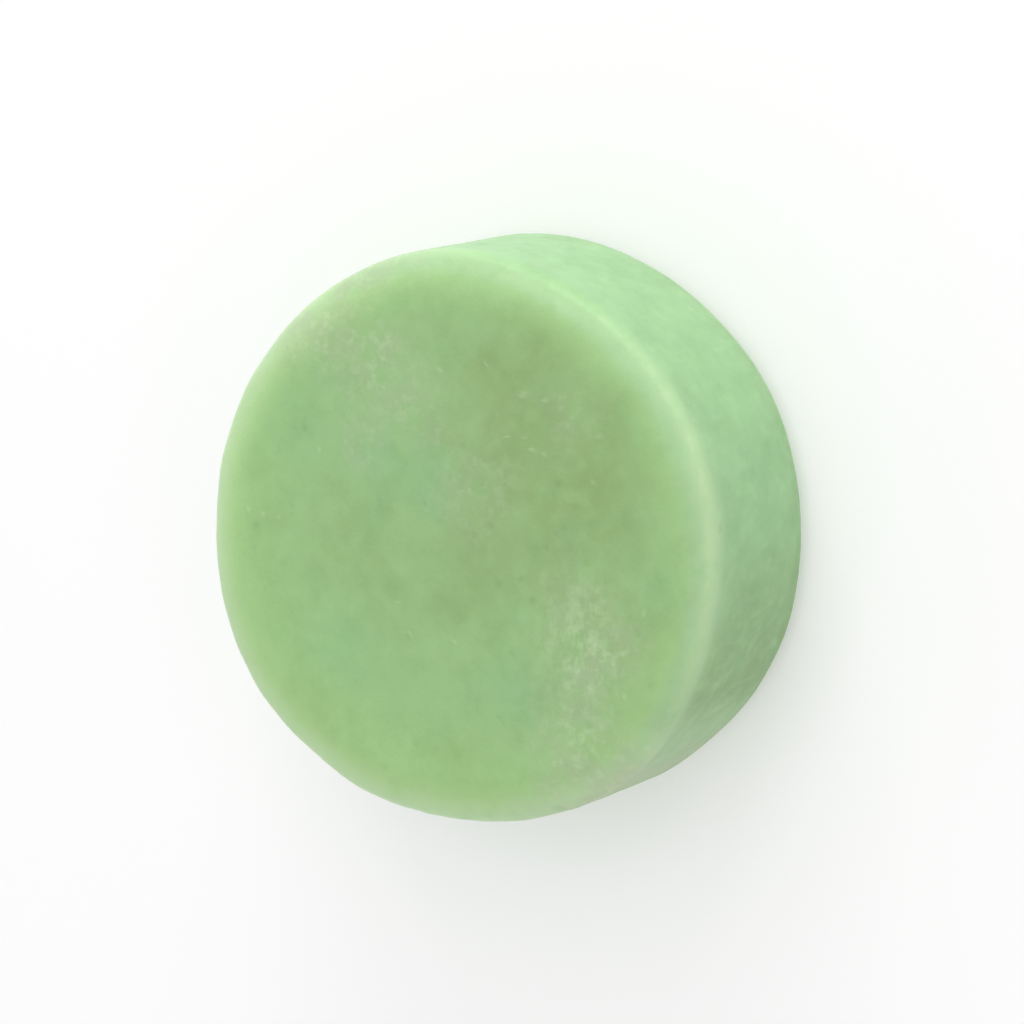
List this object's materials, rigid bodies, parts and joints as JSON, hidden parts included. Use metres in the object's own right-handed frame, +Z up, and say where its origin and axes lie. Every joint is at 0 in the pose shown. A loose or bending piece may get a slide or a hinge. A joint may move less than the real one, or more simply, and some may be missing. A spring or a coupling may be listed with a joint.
{
  "type": "shaving soap puck",
  "caption": "Round cake of hard shaving soap with flat faces, soft shoulders and a straight side wall, sized to lie in a lather mug or bowl.",
  "frame": {"origin": "centre of the puck's underside", "axes": "+Z up through the puck's thickness, along the axis it is round about; +X and +Y lie in the underside"},
  "size_m": [0.064, 0.064, 0.0235],
  "materials": {
    "soap": "waxy satin, pale green hard soap, slightly translucent"
  },
  "bodies": {
    "root": {"soap_puck": "soap"}
  },
  "joints": []
}
